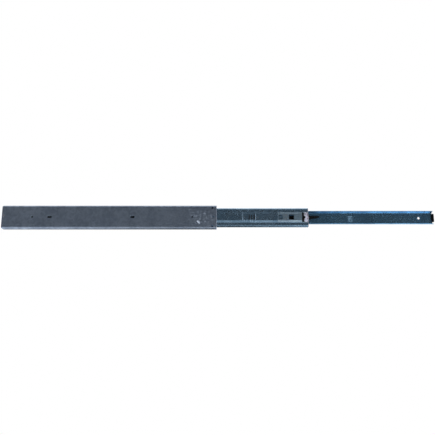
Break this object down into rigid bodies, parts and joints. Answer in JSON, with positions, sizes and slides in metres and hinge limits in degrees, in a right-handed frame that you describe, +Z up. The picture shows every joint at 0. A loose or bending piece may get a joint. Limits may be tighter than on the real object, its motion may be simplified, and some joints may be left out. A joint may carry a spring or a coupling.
{
  "type": "cabinet drawer slide",
  "caption": "Side-mounted full-extension ball-bearing drawer slide with telescoping steel rails and a release lever, drawn pulled out.",
  "frame": {"origin": "front end of the outer rail, at mid height, on the face that lies against the cabinet side", "axes": "+X is the pull direction, +Z is up along the slide's height, -Y faces the cabinet side and +Y the drawer"},
  "size_m": [0.82, 0.0127, 0.045],
  "materials": {
    "outer_zinc": "dull zinc plate, scuffed",
    "middle_zinc": "blue zinc plate, satin",
    "inner_zinc": "blue zinc plate, satin",
    "plate_zinc": "zinc plate, satin",
    "cage_steel": "dark phosphate, oiled",
    "rivet_steel": "zinc plate",
    "spring_steel": "tempered spring steel",
    "ball_steel": "polished bearing balls",
    "black_plastic": "moulded, fine matt grain",
    "pale_nylon": "moulded, natural nylon"
  },
  "bodies": {
    "outer": {"outer_rail": "outer_zinc", "outer_rear_bumper": "pale_nylon"},
    "outer_cage": {"outer_ball_cage": "cage_steel", "outer_balls_upper": "ball_steel", "outer_balls_lower": "ball_steel"},
    "middle": {"middle_rail": "middle_zinc", "sequence_plate": "plate_zinc", "sequence_rivets": "rivet_steel", "stop_plate": "plate_zinc", "stop_plate_rivets": "rivet_steel", "middle_rear_buffer": "black_plastic", "stop_latch": "black_plastic", "end_guard": "pale_nylon"},
    "inner_cage": {"inner_ball_cage": "cage_steel", "inner_balls_upper": "ball_steel", "inner_balls_lower": "ball_steel"},
    "inner": {"inner_rail": "inner_zinc", "lever_rivet": "rivet_steel", "lever_spring": "spring_steel", "inner_end_stop": "black_plastic"},
    "lever": {"release_lever": "black_plastic"}
  },
  "joints": [
    {"name": "middle_slide", "type": "slide", "parent": "outer", "child": "middle", "axis": [1, 0, 0], "range_m": [-0.186, 0]},
    {"name": "inner_slide", "type": "slide", "parent": "middle", "child": "inner", "axis": [1, 0, 0], "range_m": [-0.223, 0]},
    {"name": "outer_cage_slide", "type": "slide", "parent": "outer", "child": "outer_cage", "axis": [1, 0, 0], "range_m": [-0.093, 0]},
    {"name": "inner_cage_slide", "type": "slide", "parent": "middle", "child": "inner_cage", "axis": [1, 0, 0], "range_m": [-0.1115, 0]},
    {"name": "lever_pivot", "type": "hinge", "parent": "inner", "child": "lever", "pos_m": [0.118, 0.0093, 0], "axis": [0, -1, 0], "range_deg": [0, 3], "stiffness_Nm_per_rad": 0.5, "springref_deg": -2.86, "deforming": ["lever_spring"]}
  ],
  "couplings": [
    {"joint": "outer_cage_slide", "follows": "middle_slide", "ratio": 0.5},
    {"joint": "inner_cage_slide", "follows": "inner_slide", "ratio": 0.5}
  ]
}
